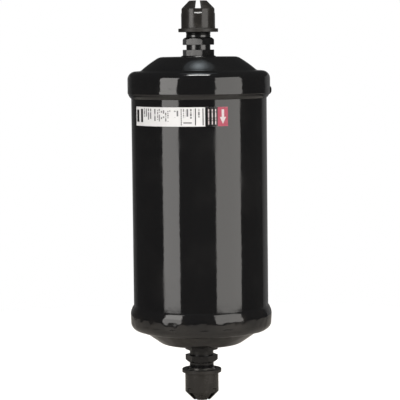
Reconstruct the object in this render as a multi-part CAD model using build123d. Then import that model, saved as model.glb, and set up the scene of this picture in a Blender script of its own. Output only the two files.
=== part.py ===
"""Filter drier for a refrigerant line.

A painted steel vessel: a shell tube with a pressed cover welded over each end, and a turned flare
fitting welded to each cover. A plastic screw cap closes each fitting. Inside, a coil spring presses
a moulded desiccant core against a filter mat and a perforated support plate.

Millimetres. The origin is on the long axis, at the middle of the shell tube. +Z runs along the axis
towards the inlet. The label faces -Y. A bearing is an angle about +Z from -Y, positive towards +X.
"""

import os
from math import atan, cos, degrees, radians, tan

from build123d import *

# Shell tube
SHELL_DIAMETER = 76.0
SHELL_WALL = 1.6
SHELL_LENGTH = 136.8

# Pressed covers, sizes of the outer surface
COVER_SHEET = 1.95
COVER_FIT = 0.05  # gap between skirt and tube
COVER_CORNER = 4.6  # outer radius between shoulder and skirt
SKIRT_DEPTH = 8.4  # how far the skirt reaches over the tube's end
SKIRT_RIM_RADIUS = 1.0
SHOULDER_WIDTH = 2.6  # flat ring between cone and corner
CONE_HEIGHT = 7.9
CONE_SLOPE = 35.7  # degrees from the shoulder's plane
CONE_ROOT_RADIUS = 3.0
CONE_TOP_RADIUS = 6.0

# Weld beads
SEAM_LEG = 2.2  # along the tube, below the skirt
SEAM_RISE = 0.5  # up the skirt's rounded rim
SEAM_THICKNESS = 1.55
SEAM_BULGE = 0.25
LUMP_BEARING = 90.0
LUMP_HEIGHT = 5.4
LUMP_WIDTH = 5.0
LUMP_PROUD = 0.85
LUMP_SUNK = 0.9  # how far its middle lies under the skirt's face
LUMP_ABOVE_RIM = 2.2  # from the skirt's end to the lump's middle
BASE_WELD_LEG = 0.6

# Flare fitting for 3/8 inch tube, 5/8-18 thread
THREAD_DIAMETER = 15.875
THREAD_LENGTH = 7.0
THREAD_RUNOUT = 0.8
PORT_DIAMETER = 7.14
HEX_ACROSS_FLATS = 16.0
HEX_CHAMFER_DIAMETER = 15.0
HEX_CHAMFER_SLOPE = 35.0
BASE_HEX_LENGTH = 3.9
GROOVE_LENGTH = 2.7
GROOVE_DEPTH = 1.275  # below the hexagons' flats
NUT_HEX_LENGTH = 4.1
NECK_LENGTH = 3.0
NECK_DEPTH = 1.09  # below the thread's crest
NOSE_HEIGHT = 2.9  # a 45 degree cone
SPIGOT_DIAMETER = 12.4
SPIGOT_FIT = 0.05
SPIGOT_PROUD = 0.8  # inside the cover
INLET_HEX_BEARING = -17.0  # of the flat nearest the front
OUTLET_HEX_BEARING = -5.5

# Screw caps
CAP_STANDOFF = 3.05  # from the hex to the cap's open end
CAP_THREAD_CLEARANCE = 0.11
CAP_MOUTH_CHAMFER = 0.4
CAP_WALL = 1.45
CAP_FLANGE_WIDTH = 1.65
CAP_FLANGE_THICKNESS = 2.2
CAP_FLANGE_ROUND = 0.6
CAP_FLOOR = 1.5
CAP_POCKETS = 4  # one under each end of a slot
CAP_POCKET_WIDTH = 4.4
CAP_POCKET_DEPTH = 0.6
CAP_POCKET_HEIGHT = 2.5  # from the ledge to the crown's foot
CROWN_HEIGHT = 4.4
CROWN_TIP_DIAMETER = 9.9
CROWN_SLOTS = 2  # slots right across the crown
SLOT_ROOT_WIDTH = 3.3
SLOT_MOUTH_WIDTH = 2.1
INLET_CAP_BEARING = 0.0
OUTLET_CAP_BEARING = 45.0
OUTLET_CAP_LOOSE = 0.9  # the outlet cap stands this much further out
SEAL_THICKNESS = 0.9
SEAL_SIDE_GAP = 0.65
SEAL_FIT = 0.05  # above and below the seal

# Inner pieces
PLATE_SEAT_GAP = 0.05
SUPPORT_PLATE_THICKNESS = 1.0
SUPPORT_PLATE_SIDE_GAP = 0.2
PLATE_HOLE_DIAMETER = 3.0
PLATE_HOLE_PITCH = 5.8
PLATE_RIM = 3.0  # solid rim outside the outermost holes
MAT_THICKNESS = 3.0
MAT_SIDE_GAP = 0.6
CORE_SIDE_GAP = 1.8
CORE_CHAMFER = 2.0
SPRING_PLATE_DIAMETER = 56.0
SPRING_PLATE_THICKNESS = 1.0
SPRING_PLATE_HOLES = 6
SPRING_PLATE_HOLE_DIAMETER = 7.0
SPRING_PLATE_HOLE_CIRCLE = 30.0
SPRING_PLATE_PORT = 12.0
SPRING_SPACE = 26.95  # from the spring plate to the inside of the inlet cover
SPRING_WIRE = 2.2
SPRING_EDGE_GAP = 4.9  # from the first coil to the spring plate's edge
SPRING_TOP_RADIUS = 13.0
SPRING_COILS = 4.5
SPRING_END_GAP = 0.15

# Label, wrapped on the tube. Lengths run along the tube's surface and heights along the axis.
# A place is where a strip starts, as a share of the length of the field that it is printed on.
LABEL_LENGTH = 59.3
LABEL_HEIGHT = 10.45
LABEL_BELOW_SEAM = 3.9  # from the seam's toe to the label's top edge
LABEL_START_BEARING = -65.2
LABEL_THICKNESS = 0.12
LABEL_GAP = 0.01
PRINT_THICKNESS = 0.04
RED_FIELD_LENGTH = 5.9
BLACK_FIELD_LENGTH = 6.9
CODE_BAR_PLACES = (0.031, 0.131)
CODE_BAR_LENGTH = 1.75
CODE_BAR_MARGIN = 1.6  # left above and below the bar
RULE_PLACES = (0.718, 0.882, 0.97)
RULE_LENGTH = 0.5
RULE_MARGIN = 0.7
LINE_PLACES = (0.195, 0.235, 0.275, 0.315, 0.377, 0.427, 0.757, 0.799, 0.839, 0.929)
LINE_LENGTH = 0.55
LINE_MARGIN = 1.8
LIGHT_LINE_PLACES = (0.23, 0.52, 0.79)
LIGHT_LINE_LENGTH = 0.6
LIGHT_LINE_MARGIN = 1.0
ARROW_MARGIN = 1.4
ARROW_HEAD_HEIGHT = 3.4
ARROW_HEAD_WIDTH = 3.6
ARROW_SHAFT_WIDTH = 1.3

# Places that follow from the sizes above. Heights are for the inlet end.
shell_radius = SHELL_DIAMETER / 2
shell_bore_radius = shell_radius - SHELL_WALL
shell_end = SHELL_LENGTH / 2
skirt_bore_radius = shell_radius + COVER_FIT
skirt_radius = skirt_bore_radius + COVER_SHEET
shoulder_inner = shell_end + COVER_CORNER - COVER_SHEET
shoulder_top = shoulder_inner + COVER_SHEET
cover_top = shoulder_top + CONE_HEIGHT
skirt_end = shell_end - SKIRT_DEPTH
seam_toe = skirt_end - SEAM_LEG

port_radius = PORT_DIAMETER / 2
thread_radius = THREAD_DIAMETER / 2
neck_radius = thread_radius - NECK_DEPTH
groove_radius = HEX_ACROSS_FLATS / 2 - GROOVE_DEPTH
hex_corner_radius = HEX_ACROSS_FLATS / 2 / cos(radians(30))
base_hex_end = cover_top + BASE_HEX_LENGTH
groove_end = base_hex_end + GROOVE_LENGTH
nut_hex_end = groove_end + NUT_HEX_LENGTH
neck_end = nut_hex_end + NECK_LENGTH
thread_start = neck_end + THREAD_RUNOUT
thread_end = thread_start + THREAD_LENGTH
nose_end = thread_end + NOSE_HEIGHT
spigot_end = cover_top - COVER_SHEET - SPIGOT_PROUD

cap_bore_radius = thread_radius + CAP_THREAD_CLEARANCE
cap_radius = cap_bore_radius + CAP_WALL
cap_pocket_distance = cap_radius - CAP_POCKET_DEPTH
cap_start = nut_hex_end + CAP_STANDOFF
seal_start = nose_end + SEAL_FIT
cap_floor = seal_start + SEAL_THICKNESS + SEAL_FIT
crown_start = cap_floor + CAP_FLOOR
crown_end = crown_start + CROWN_HEIGHT

support_plate_top = PLATE_SEAT_GAP + SUPPORT_PLATE_THICKNESS - shoulder_inner
mat_top = support_plate_top + MAT_THICKNESS
spring_plate_top = cover_top - COVER_SHEET - SPRING_SPACE
core_top = spring_plate_top - SPRING_PLATE_THICKNESS
spring_base_radius = SPRING_PLATE_DIAMETER / 2 - SPRING_EDGE_GAP - SPRING_WIRE / 2

label_top = seam_toe - LABEL_BELOW_SEAM
film_inner_radius = shell_radius + LABEL_GAP
print_radius = film_inner_radius + LABEL_THICKNESS + LABEL_GAP
overprint_radius = print_radius + PRINT_THICKNESS + LABEL_GAP
red_start = LABEL_LENGTH - RED_FIELD_LENGTH
black_start = red_start - BLACK_FIELD_LENGTH


def disc(radius, low, high):
    """A round plate about the axis between two heights."""
    return Pos(0, 0, low) * extrude(Circle(radius), high - low)


def tube(outer_radius, inner_radius, low, high):
    """A ring about the axis between two heights."""
    return disc(outer_radius, low, high) - disc(inner_radius, low, high)


def turned(section):
    """A solid of revolution from a closed outline of (radius, height)."""
    return revolve(Plane.XZ * make_face(section), Axis.Z)


def turned_corners(*corners):
    """A solid of revolution from straight lines between (radius, height) corners."""
    return turned(Polyline(*corners, close=True))


def hexagon(low, high, bearing):
    """A hexagonal prism about the axis, with one flat facing a bearing."""
    outline = RegularPolygon(HEX_ACROSS_FLATS / 2, 6, major_radius=False)
    return Pos(0, 0, low) * Rot(0, 0, bearing) * extrude(outline, high - low)


def at_outlet(shape):
    """Turns a piece made for the inlet end over to the outlet end, about X."""
    return Rot(180, 0, 0) * shape


def shell_tube():
    return tube(shell_radius, shell_bore_radius, -shell_end, shell_end)


def cover():
    """One pressed cover: sheet of even thickness, with a rounded rim on its skirt."""
    shoulder_edge = skirt_radius - COVER_CORNER
    cone_root = shoulder_edge - SHOULDER_WIDTH
    cone_top = cone_root - CONE_HEIGHT / tan(radians(CONE_SLOPE))
    hole_edge = SPIGOT_DIAMETER / 2 + SPIGOT_FIT
    outer_surface = FilletPolyline(
        (hole_edge, cover_top),
        (cone_top, cover_top),
        (cone_root, shoulder_top),
        (skirt_radius, shoulder_top),
        (skirt_radius, skirt_end),
        radius=(CONE_TOP_RADIUS, CONE_ROOT_RADIUS, COVER_CORNER),
    )
    sheet = make_face(offset(outer_surface, COVER_SHEET, side=Side.RIGHT).edges())
    rim = sheet.vertices().sort_by_distance((skirt_radius, skirt_end))[0]
    return revolve(Plane.XZ * fillet(rim, SKIRT_RIM_RADIUS), Axis.Z)


def seam_weld(end_cover):
    """The bead in the corner between the tube and the skirt's rounded rim."""
    toe = (shell_radius, seam_toe)
    crest = (shell_radius + SEAM_THICKNESS, skirt_end + SEAM_RISE)
    root = (skirt_bore_radius + SEAM_RISE, skirt_end)
    corner = (shell_radius, skirt_end)
    face = SagittaArc(toe, crest, -SEAM_BULGE)
    bead = turned([face, Polyline(crest, root, corner, toe)])
    return bead - end_cover


def seam_lump(end_cover):
    """The lump that the bead's start and stop leave on the skirt."""
    centre = (skirt_radius - LUMP_SUNK, 0, skirt_end + LUMP_ABOVE_RIM)
    blob = scale(Sphere(1), by=(LUMP_SUNK + LUMP_PROUD, LUMP_WIDTH / 2, LUMP_HEIGHT / 2))
    inside = disc(skirt_bore_radius, skirt_end - LUMP_HEIGHT, shell_end)
    return Rot(0, 0, LUMP_BEARING - 90) * Pos(*centre) * blob - end_cover - inside


def base_weld(bearing):
    """The fillet weld around the fitting's base hexagon."""
    outer = hex_corner_radius + BASE_WELD_LEG
    ring = turned_corners(
        (SPIGOT_DIAMETER / 2, cover_top),
        (outer, cover_top),
        (hex_corner_radius, cover_top + BASE_WELD_LEG),
        (SPIGOT_DIAMETER / 2, cover_top + BASE_WELD_LEG),
    )
    return ring - hexagon(cover_top, base_hex_end, bearing)


def fitting(bearing):
    """A turned flare fitting: spigot, base hexagon, groove, chamfered hexagon, neck, thread and nose.
    The thread's crest is a plain cylinder here."""
    spigot_radius = SPIGOT_DIAMETER / 2
    core = turned_corners(
        (port_radius, spigot_end),
        (spigot_radius, spigot_end),
        (spigot_radius, cover_top),
        (groove_radius, cover_top),
        (groove_radius, groove_end),
        (neck_radius, groove_end),
        (neck_radius, neck_end),
        (thread_radius, thread_start),
        (thread_radius, thread_end),
        (thread_radius - NOSE_HEIGHT, nose_end),
        (port_radius, nose_end),
    )
    chamfer_radius = HEX_CHAMFER_DIAMETER / 2
    chamfer_drop = (hex_corner_radius - chamfer_radius) * tan(radians(HEX_CHAMFER_SLOPE))
    chamfer = turned_corners(
        (0, groove_end),
        (hex_corner_radius, groove_end),
        (hex_corner_radius, nut_hex_end - chamfer_drop),
        (chamfer_radius, nut_hex_end),
        (0, nut_hex_end),
    )
    nut = hexagon(groove_end, nut_hex_end, bearing) & chamfer
    base = hexagon(cover_top, base_hex_end, bearing)
    return core + nut + base - disc(port_radius, spigot_end, nose_end)


def crown_slot():
    """One slot right across the cap's crown, narrower at its mouth."""
    root = SLOT_ROOT_WIDTH / 2
    mouth = SLOT_MOUTH_WIDTH / 2
    outline = Polyline(
        (-root, crown_start), (root, crown_start), (mouth, crown_end), (-mouth, crown_end), close=True
    )
    return extrude(Plane.XZ * make_face(outline), cap_radius, both=True)


def cap():
    """A plastic screw cap: flange, round body, conical crown with crossed slots, pockets below them."""
    body = turned_corners(
        (0, cap_start),
        (cap_radius, cap_start),
        (cap_radius, crown_start),
        (CROWN_TIP_DIAMETER / 2, crown_end),
        (0, crown_end),
    )
    flange = disc(cap_radius + CAP_FLANGE_WIDTH, cap_start, cap_start + CAP_FLANGE_THICKNESS)
    body += fillet(flange.edges().filter_by(GeomType.CIRCLE), CAP_FLANGE_ROUND)
    mouth_radius = cap_bore_radius + CAP_MOUTH_CHAMFER
    body -= turned_corners(
        (0, cap_start),
        (mouth_radius, cap_start),
        (cap_bore_radius, cap_start + CAP_MOUTH_CHAMFER),
        (cap_bore_radius, cap_floor),
        (0, cap_floor),
    )
    ledge = crown_start - CAP_POCKET_HEIGHT
    pocket = Pos(cap_pocket_distance + cap_radius, 0, (ledge + crown_end) / 2) * Box(
        2 * cap_radius, CAP_POCKET_WIDTH, crown_end - ledge
    )
    for index in range(CAP_POCKETS):
        body -= Rot(0, 0, 360 * index / CAP_POCKETS) * pocket
    for index in range(CROWN_SLOTS):
        body -= Rot(0, 0, 180 * index / CROWN_SLOTS) * crown_slot()
    return body


def cap_seal():
    return disc(cap_bore_radius - SEAL_SIDE_GAP, seal_start, seal_start + SEAL_THICKNESS)


def support_plate():
    """The perforated plate on the outlet cover's shoulder, with rings of holes."""
    radius = skirt_radius - COVER_CORNER - SUPPORT_PLATE_SIDE_GAP
    bottom = support_plate_top - SUPPORT_PLATE_THICKNESS
    plate = disc(radius, bottom, support_plate_top)
    hole = disc(PLATE_HOLE_DIAMETER / 2, bottom, support_plate_top)
    rings = int((radius - PLATE_RIM - PLATE_HOLE_DIAMETER / 2) / PLATE_HOLE_PITCH)
    holes = [hole]
    for ring in range(1, rings + 1):
        for place in PolarLocations(ring * PLATE_HOLE_PITCH, 6 * ring):
            holes.append(place * hole)
    return plate - holes


def filter_mat():
    return disc(shell_bore_radius - MAT_SIDE_GAP, support_plate_top, mat_top)


def desiccant_core():
    block = disc(shell_bore_radius - CORE_SIDE_GAP, mat_top, core_top)
    return chamfer(block.edges().filter_by(GeomType.CIRCLE), CORE_CHAMFER)


def spring_plate():
    """The plate that spreads the spring's load, with a port and a circle of holes."""
    plate = tube(SPRING_PLATE_DIAMETER / 2, SPRING_PLATE_PORT / 2, core_top, spring_plate_top)
    hole = disc(SPRING_PLATE_HOLE_DIAMETER / 2, core_top, spring_plate_top)
    for place in PolarLocations(SPRING_PLATE_HOLE_CIRCLE / 2, SPRING_PLATE_HOLES):
        plate -= place * hole
    return plate


def core_spring():
    """A conical coil spring from the spring plate to the inlet cover."""
    low = spring_plate_top + SPRING_END_GAP + SPRING_WIRE / 2
    high = cover_top - COVER_SHEET - SPRING_END_GAP - SPRING_WIRE / 2
    height = high - low
    lean = degrees(atan((SPRING_TOP_RADIUS - spring_base_radius) / height))
    coil = Helix(height / SPRING_COILS, height, spring_base_radius, (0, 0, low), cone_angle=lean)
    wire_section = Plane(coil @ 0, z_dir=coil % 0) * Circle(SPRING_WIRE / 2)
    return sweep(wire_section, coil, is_frenet=True)


def patch(start, length, low, high, inner_radius, thickness):
    """A thin curved panel on the tube, from the label's left end along the tube's surface."""
    section = Polyline(
        (inner_radius, low),
        (inner_radius + thickness, low),
        (inner_radius + thickness, high),
        (inner_radius, high),
        close=True,
    )
    turn = degrees(length / shell_radius)
    panel = revolve(Plane.XZ * make_face(section), Axis.Z, turn)
    bearing = LABEL_START_BEARING + degrees(start / shell_radius)
    return Rot(0, 0, bearing - 90) * panel


def label_film():
    low = label_top - LABEL_HEIGHT
    return patch(0, LABEL_LENGTH, low, label_top, film_inner_radius, LABEL_THICKNESS)


def strips(starts, length, margin, inner_radius):
    """Upright strips of print, with the same margin above and below."""
    low = label_top - LABEL_HEIGHT + margin
    high = label_top - margin
    return [patch(start, length, low, high, inner_radius, PRINT_THICKNESS) for start in starts]


def on_white(places):
    """Starts on the white field, which runs from the label's left end to the black field."""
    return [place * black_start for place in places]


def black_print():
    """The black field, the two code bars and the rules between the columns."""
    pieces = strips([black_start], BLACK_FIELD_LENGTH, 0, print_radius)
    pieces += strips(on_white(CODE_BAR_PLACES), CODE_BAR_LENGTH, CODE_BAR_MARGIN, print_radius)
    pieces += strips(on_white(RULE_PLACES), RULE_LENGTH, RULE_MARGIN, print_radius)
    return Compound(children=pieces)


def grey_print():
    """Plain lines in the place of small print."""
    lines = strips(on_white(LINE_PLACES), LINE_LENGTH, LINE_MARGIN, print_radius)
    return Compound(children=lines)


def red_print():
    return strips([red_start], RED_FIELD_LENGTH, 0, print_radius)[0]


def flow_arrow():
    """An arrow on the red field that points to the outlet."""
    tail = label_top - ARROW_MARGIN
    tip = label_top - LABEL_HEIGHT + ARROW_MARGIN
    neck = tip + ARROW_HEAD_HEIGHT
    head = ARROW_HEAD_WIDTH / 2
    shaft = ARROW_SHAFT_WIDTH / 2
    half = [(0, tip), (head, neck), (shaft, neck), (shaft, tail)]
    outline = Polyline(*half, *[(-x, z) for x, z in reversed(half[1:])], close=True)
    bar = extrude(Plane.XZ * make_face(outline), SHELL_DIAMETER)
    middle = red_start + RED_FIELD_LENGTH / 2
    bearing = LABEL_START_BEARING + degrees(middle / shell_radius)
    skin = tube(overprint_radius + PRINT_THICKNESS, overprint_radius, tip, tail)
    return Rot(0, 0, bearing) * bar & skin


def white_print():
    """Light lines on the black field and the flow arrow on the red one."""
    starts = [black_start + place * BLACK_FIELD_LENGTH for place in LIGHT_LINE_PLACES]
    lines = strips(starts, LIGHT_LINE_LENGTH, LIGHT_LINE_MARGIN, overprint_radius)
    return Compound(children=[*lines, *flow_arrow().solids()])


def pieces():
    """Every piece by name, in its place."""
    end_cover = cover()
    outlet_cap_place = Pos(0, 0, OUTLET_CAP_LOOSE) * Rot(0, 0, -OUTLET_CAP_BEARING)
    return {
        "shell_tube": shell_tube(),
        "inlet_cover": end_cover,
        "outlet_cover": at_outlet(end_cover),
        "inlet_seam_weld": seam_weld(end_cover) + seam_lump(end_cover),
        "outlet_seam_weld": at_outlet(seam_weld(end_cover)),
        "inlet_fitting": fitting(INLET_HEX_BEARING),
        "outlet_fitting": at_outlet(fitting(-OUTLET_HEX_BEARING)),
        "inlet_fitting_weld": base_weld(INLET_HEX_BEARING),
        "outlet_fitting_weld": at_outlet(base_weld(-OUTLET_HEX_BEARING)),
        "inlet_cap": Rot(0, 0, INLET_CAP_BEARING) * cap(),
        "outlet_cap": at_outlet(outlet_cap_place * cap()),
        "inlet_cap_seal": cap_seal(),
        "outlet_cap_seal": at_outlet(outlet_cap_place * cap_seal()),
        "support_plate": support_plate(),
        "filter_mat": filter_mat(),
        "desiccant_core": desiccant_core(),
        "spring_plate": spring_plate(),
        "core_spring": core_spring(),
        "label_film": label_film(),
        "label_black_print": black_print(),
        "label_grey_print": grey_print(),
        "label_red_print": red_print(),
        "label_white_print": white_print(),
    }


def main():
    os.makedirs("parts", exist_ok=True)
    for name, shape in pieces().items():
        export_step(shape, f"parts/{name}.step")


main()
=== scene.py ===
"""The looks of the filter drier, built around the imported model.

Metres, in the model's frame: +Z runs along the axis towards the inlet and the label faces -Y. Sizes
below are in millimetres and heights are distances from the shell's middle. A bearing is an angle
about +Z from -Y, positive towards +X, in degrees.
"""

from math import atan2, cos, pi, radians, sin, tan, tau

import bmesh
import bpy
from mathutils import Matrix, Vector


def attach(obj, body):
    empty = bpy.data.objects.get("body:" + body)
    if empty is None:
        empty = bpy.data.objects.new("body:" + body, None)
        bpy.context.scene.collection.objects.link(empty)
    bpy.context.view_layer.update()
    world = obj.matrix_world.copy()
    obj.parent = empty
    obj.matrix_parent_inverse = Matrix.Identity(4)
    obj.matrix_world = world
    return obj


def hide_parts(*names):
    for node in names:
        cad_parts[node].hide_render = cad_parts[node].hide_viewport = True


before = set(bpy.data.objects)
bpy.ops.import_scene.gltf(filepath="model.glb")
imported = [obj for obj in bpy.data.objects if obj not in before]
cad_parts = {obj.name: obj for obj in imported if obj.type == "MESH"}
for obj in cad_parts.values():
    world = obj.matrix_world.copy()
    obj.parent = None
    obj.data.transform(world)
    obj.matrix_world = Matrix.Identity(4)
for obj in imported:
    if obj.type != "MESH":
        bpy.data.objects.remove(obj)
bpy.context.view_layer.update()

MM = 0.001
SAME_POINT = 1e-7  # points nearer than this are one, in metres
SAME_LEVEL = 1e-6
FILLET_TURN = 9  # the most that one segment of a fillet turns, in degrees
FILLET_STEP = 1.2  # the most that it is long
SHELL_STEPS = 360
FITTING_STEPS = 160
CAP_STEPS = 144

# Shell and covers
SHELL_RADIUS = 38.0
SHELL_BORE = 36.4
SHELL_END = 68.4
SHELL_DEBURR = 0.3
COVER_SHEET = 1.95
COVER_CORNER = 4.6  # outer radius between shoulder and skirt
SKIRT_RADIUS = 40.0
SKIRT_END = 60.0
SHOULDER_TOP = 73.0
COVER_TOP = 80.9
CONE_ROOT = 32.8
CONE_TOP = 21.8
CONE_SLOPE = 35.7  # degrees
CONE_CROWNING = 0.7  # how far the slope's middle stands out
CONE_CROWN_RADIUS = 55.0
CONE_ROOT_FILLET = 3.0
CONE_TOP_FILLET = 5.0
INNER_TOP_FILLET = 4.05
WALL_BELOW_SHOULDER = 4.8  # where the skirt's straight wall ends
WALL_STEP = 0.7  # between the wall's points
INLET_WALL_RISE = 1.4  # from the skirt's end to the straight wall
OUTLET_WALL_RISE = 4.2
OUTLET_TAPER = 0.2
INLET_RIM = [(SKIRT_RADIUS, SKIRT_END, 1.0)]
OUTLET_RIM = [(SKIRT_RADIUS, SKIRT_END + 2.7, 5.0), (SKIRT_RADIUS - 1.13, SKIRT_END)]

# Weld beads. A profile's points are (out from the tube, up from the toe).
SEAM_TOE = 57.8
SEAM_STEPS = 720
SEAM_SUNK = 0.05  # how far the bead reaches into the tube
INLET_SEAM = [(0.5, 0.42), (1.05, 1.1), (1.42, 1.75), (1.56, 2.3)]
OUTLET_SEAM = [(0.02, 0.01), (0.42, 0.61), (0.81, 1.2), (0.84, 1.35)]
OUTLET_SEAM_RISE = 1.05
OUTLET_SEAM_SUNK = 0.096  # gives its foot the slope of its toe
SEAM_TOP = [(0.6, 2.25), (-SEAM_SUNK, 2.1)]
BASE_STEPS = 240
BEAD_OVERLAP = 0.02
RIPPLE_EVERY = 4  # one ripple in so many steps round a bead
LUMP_SIZE = (1.75, 2.5, 2.7)  # half sizes out, along and up
LUMP_SUNK = 0.9
LUMP_ABOVE_RIM = 2.2

# Flare fittings
PORT_RADIUS = 3.57
PORT_WALL = 0.4  # of the bare core, inside the painted bar
SPIGOT_RADIUS = 6.2
SPIGOT_FIT = 0.05
SPIGOT_END = 78.15
HEX_ACROSS_FLATS = 16
HEX_CORNER = HEX_ACROSS_FLATS / 2 / cos(radians(30))
HEX_CHAMFER_RADIUS = 7.5
HEX_CHAMFER_SLOPE = 35  # degrees
CHAMFER_STEPS = 120
BASE_HEX_END = 84.8
GROOVE_END = 87.5
GROOVE_RADIUS = 6.725
NUT_HEX_END = 91.6
NECK_RADIUS = 6.85
NECK_PROFILE = [(0, 1.3), (-0.25, 1.6), (0.08, 1.95), (-0.2, 2.25), (0.2, 2.65), (-0.2, 3.05)]
THREAD_RADIUS = 7.9375
THREAD_PITCH = 25.4 / 18
THREAD_DEPTH = 0.8
THREAD_END = 102.4
THREAD_TURNS = 5
STEPS_PER_TURN = 72
NOSE_END = 105.3
NOSE_SLOPE = 45  # degrees
INLET_HEX_BEARING = -17.0
OUTLET_HEX_BEARING = -5.5

# Screw caps
CAP_START = 94.65
CAP_RADIUS = 9.4975
CAP_BORE = 8.0475
CAP_FLANGE_RADIUS = 11.1475
CAP_FLANGE_TOP = 96.6
CAP_POCKET_DISTANCE = 8.8975
CAP_POCKET_WIDTH = 4.4
CAP_POCKET_START = 104.9
CAP_POCKET_REACH = 2.0
CAP_LEDGE_SLOPE = 1.3  # rise over run, at the foot of a pocket
CAP_EYE = 0.6  # radius of the section's hole, which is closed later
CAP_FLOOR = 106.3
CROWN_START = 107.8
CROWN_END = 112.2
CROWN_TIP = 4.95
SLOT_ROOT_WIDTH = 3.3
SLOT_MOUTH_WIDTH = 2.1
SLOT_TOOL_LENGTH = 26
SLOT_TOOL_HEIGHT = 6.4
OUTLET_CAP_BEARING = 45.0
OUTLET_CAP_LOOSE = 0.9  # the outlet cap stands this much further out

# Label
LABEL_BOTTOM = 43.45
LABEL_HEIGHT = 10.45
LABEL_LENGTH = 59.3
LABEL_START_BEARING = -65.2
LABEL_RADIUS = 38.01
LABEL_THICKNESS = 0.12
RED_LENGTH = 5.9
BLACK_LENGTH = 6.9
WHITE_LENGTH = LABEL_LENGTH - RED_LENGTH - BLACK_LENGTH
INK_GAP = 0.01
INK_THICKNESS = 0.04
INK_LAYER = 0.05  # from one layer of ink to the next
INK_MARGIN = 0.02
RULE_MARGIN = 0.7
PRINT_INK = (0.09, 0.09, 0.1, 1)
PRINT_STRENGTH = 0.85
# Runs of small print: start and end as shares of the white field, then pitch and width of the
# columns, their lowest and highest point, the length of a dash, and the share that is inked
PRINT_RUNS = [
    (0.179, 0.325, 1.75, 0.95, 2.4, 9.6, 0.45, 0.8),
    (0.36, 0.385, 1.2, 0.95, 2.4, 9.5, 0.4, 0.85),
    (0.405, 0.448, 1.1, 0.65, 2.6, 9.5, 0.5, 0.75),
    (0.458, 0.585, 1.35, 0.8, 2.6, 8.8, 0.5, 0.5),
    (0.632, 0.686, 1.5, 0.9, 4.2, 8.6, 0.5, 0.65),
    (0.742, 0.772, 1.3, 0.6, 3.6, 9.5, 0.5, 0.6),
    (0.783, 0.866, 1.9, 0.95, 4.0, 9.5, 0.4, 0.75),
    (0.918, 0.945, 1.3, 0.9, 3.4, 9.5, 0.4, 0.85),
]
ARROW_MARGIN = 1.3
ARROW_HEAD = 1.8  # half of its width
ARROW_SHAFT = 0.7

# Camera and stage, in metres
CAMERA_DISTANCE = 1.031
CAMERA_RISE = 4.9  # degrees above the level
CAMERA_ROLL = -0.61
CAMERA_LENS = 164.5  # millimetres, on a 36 mm sensor
AIM_HEIGHT = 0.0003
FLOOR_RADIUS = 0.4
FLOOR_CENTRE = (0, 0.06, -0.125)
BACKDROP_DISTANCE = 0.7
SOFTBOX_DISTANCE = 0.34
SOFTBOX_SPAN = (-0.1025, 0.25)  # lowest and highest point
LEFT_STRIP = (-32.0, -17.2)  # bearings between which the shell shows a softbox
RIGHT_STRIP = (13.3, 36.0)


# Modelling helpers

def nothing_selected():
    """Object mode with nothing selected."""
    if bpy.context.mode != "OBJECT":
        bpy.ops.object.mode_set(mode="OBJECT")
    bpy.ops.object.select_all(action="DESELECT")


def only(piece):
    """Makes one piece the selected and active one."""
    nothing_selected()
    piece.select_set(True)
    bpy.context.view_layer.objects.active = piece


def edit(piece):
    """Makes one piece the selected one and opens it in edit mode."""
    only(piece)
    bpy.ops.object.mode_set(mode="EDIT")


def named(name):
    """Names the piece that was just added."""
    piece = bpy.context.object
    piece.name = name
    piece.data.name = name
    return piece


def pick(piece, wanted, kind="VERT"):
    """Selects the points, or the faces, of the piece in edit mode that the test wants."""
    bpy.ops.mesh.select_mode(type=kind)
    bpy.ops.mesh.select_all(action="DESELECT")
    mesh = bmesh.from_edit_mesh(piece.data)
    for point in mesh.verts if kind == "VERT" else mesh.faces:
        if wanted(point.co if kind == "VERT" else point):
            point.select_set(True)
    mesh.select_flush_mode()
    bmesh.update_edit_mesh(piece.data)


def pick_all():
    """Selects all of the piece in edit mode."""
    bpy.ops.mesh.select_all(action="SELECT")


def face_outwards():
    """Makes all faces of the piece in edit mode face outwards."""
    pick_all()
    bpy.ops.mesh.normals_make_consistent(inside=False)


def draw_section(name, corners, closed=True):
    """Draws a section in the XZ plane and leaves it in edit mode. Each corner is (radius, height)
    or (radius, height, fillet)."""
    nothing_selected()
    bpy.ops.mesh.primitive_plane_add(size=MM, location=(0, 0, 0))
    piece = named(name)
    bpy.ops.object.mode_set(mode="EDIT")
    bpy.ops.mesh.select_mode(type="VERT")
    pick_all()
    bpy.ops.mesh.merge(type="CENTER")
    places = [Vector((corner[0], 0, corner[1])) * MM for corner in corners]
    bpy.ops.transform.translate(value=places[0])
    for here, there in zip(places, places[1:]):
        bpy.ops.mesh.extrude_region_move(TRANSFORM_OT_translate={"value": there - here})
    if closed:
        pick(piece, lambda p: min((p - end).length for end in (places[0], places[-1])) < SAME_POINT)
        bpy.ops.mesh.edge_face_add()
    for index, corner in enumerate(corners):
        if len(corner) < 3:
            continue
        here = places[index]
        before = here - places[index - 1]
        after = places[(index + 1) % len(places)] - here
        turn, fillet = before.angle(after), corner[2]
        pick(piece, lambda p: (p - here).length < SAME_POINT)
        bpy.ops.mesh.bevel(
            offset_type="OFFSET",
            offset=fillet * MM * tan(turn / 2),
            segments=max(3, round(turn / radians(FILLET_TURN)), round(turn * fillet / FILLET_STEP)),
            profile=0.5,
            affect="VERTICES",
            clamp_overlap=False,
        )
    return piece


def spin_section(piece, steps):
    """Spins a section round the axis into a closed skin that faces outwards."""
    pick_all()
    bpy.ops.mesh.spin(steps=steps, angle=tau, center=(0, 0, 0), axis=(0, 0, 1))
    pick_all()
    bpy.ops.mesh.remove_doubles(threshold=2e-7)
    face_outwards()
    nothing_selected()
    return piece


def turned(name, corners, steps):
    """A turned or pressed round piece from its closed section."""
    return spin_section(draw_section(name, corners), steps)


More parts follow.
